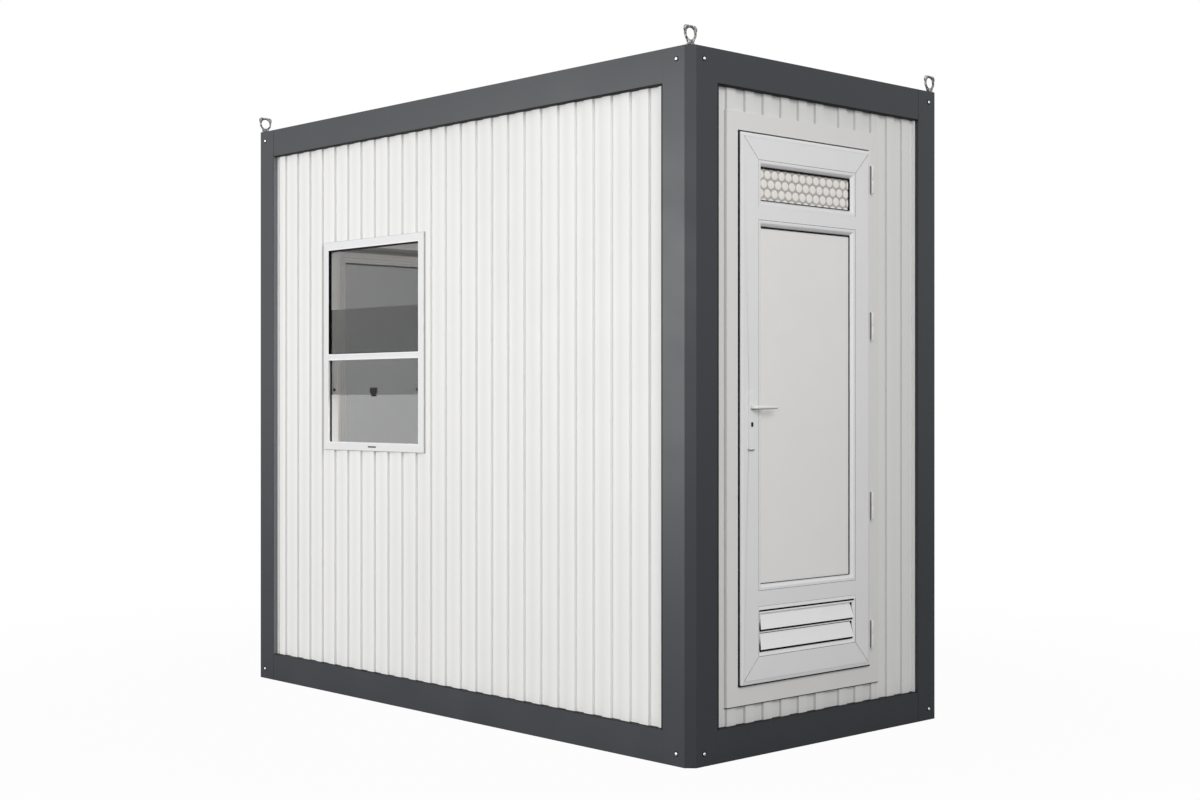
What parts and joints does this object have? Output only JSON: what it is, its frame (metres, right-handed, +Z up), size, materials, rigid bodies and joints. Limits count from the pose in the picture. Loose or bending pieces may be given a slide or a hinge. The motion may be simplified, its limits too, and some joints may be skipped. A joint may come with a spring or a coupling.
{
  "type": "security guard booth",
  "caption": "Flat-roofed guard cabin with a chamfered dark steel frame, white ribbed walls, a sash serving window, a louvred door that opens outwards and lifting eyes on its corners.",
  "frame": {"origin": "middle of the base, on the ground, at the underside of the middle floor joist", "axes": "+Z up, +X towards the door end, -Y towards the serving window"},
  "size_m": [2.929, 1.496, 2.673],
  "materials": {
    "frame_steel": "satin anthracite paint",
    "wall_panel": "white coil-coated sheet, satin",
    "roof_sheet": "white coil-coated sheet",
    "floor": "floor board with a vinyl covering",
    "zinc": "galvanised forging",
    "white_plastic": "white window profile",
    "jamb_plastic": "white door frame profile",
    "window_glass": "grey tinted float glass",
    "patterned_glass": "cast glass with a honeycomb pattern",
    "black_plastic": "black moulded fittings",
    "white_metal": "white enamelled door furniture"
  },
  "bodies": {
    "cabin": {"front_left_post": "frame_steel", "front_right_post": "frame_steel", "back_left_post": "frame_steel", "back_right_post": "frame_steel", "front_bottom_rail": "frame_steel", "back_bottom_rail": "frame_steel", "left_bottom_rail": "frame_steel", "door_bottom_rail": "frame_steel", "front_top_rail": "frame_steel", "back_top_rail": "frame_steel", "left_top_rail": "frame_steel", "door_top_rail": "frame_steel", "front_left_eye": "zinc", "front_right_eye": "zinc", "back_left_eye": "zinc", "back_right_eye": "zinc", "front_wall_left": "wall_panel", "front_wall_right": "wall_panel", "front_wall_over_window": "wall_panel", "front_wall_under_window": "wall_panel", "back_wall": "wall_panel", "left_wall": "wall_panel", "door_wall_front": "wall_panel", "door_wall_back": "wall_panel", "door_wall_over_door": "wall_panel", "door_wall_under_door": "wall_panel", "floor_board": "floor", "floor_joists": "frame_steel", "ceiling_panel": "wall_panel", "roof_panel": "roof_sheet", "front_window_frame": "white_plastic", "front_window_fixed_pane": "window_glass", "front_window_sliding_pane": "window_glass", "front_window_catches": "black_plastic", "left_window_frame": "white_plastic", "left_window_panes": "window_glass", "left_window_blind_box": "white_plastic", "door_frame": "jamb_plastic", "door_hinge_pins": "white_metal"},
    "door": {"door_leaf": "white_plastic", "door_beads": "white_plastic", "door_glass": "patterned_glass", "door_panel": "white_plastic", "door_louvre": "white_plastic", "door_hinge_barrels": "white_metal", "door_handle_plates": "white_metal"},
    "lever": {"door_lever": "white_metal"}
  },
  "joints": [
    {"name": "door_swing", "type": "hinge", "parent": "cabin", "child": "door", "pos_m": [1.437, 0.3005, 1.29], "axis": [0, 0, 1], "range_deg": [0, 110]},
    {"name": "lever_press", "type": "hinge", "parent": "door", "child": "lever", "pos_m": [1.4075, -0.4225, 1.295], "axis": [-1, 0, 0], "range_deg": [0, 40], "stiffness_Nm_per_rad": 1.5, "springref_deg": -22.92}
  ]
}
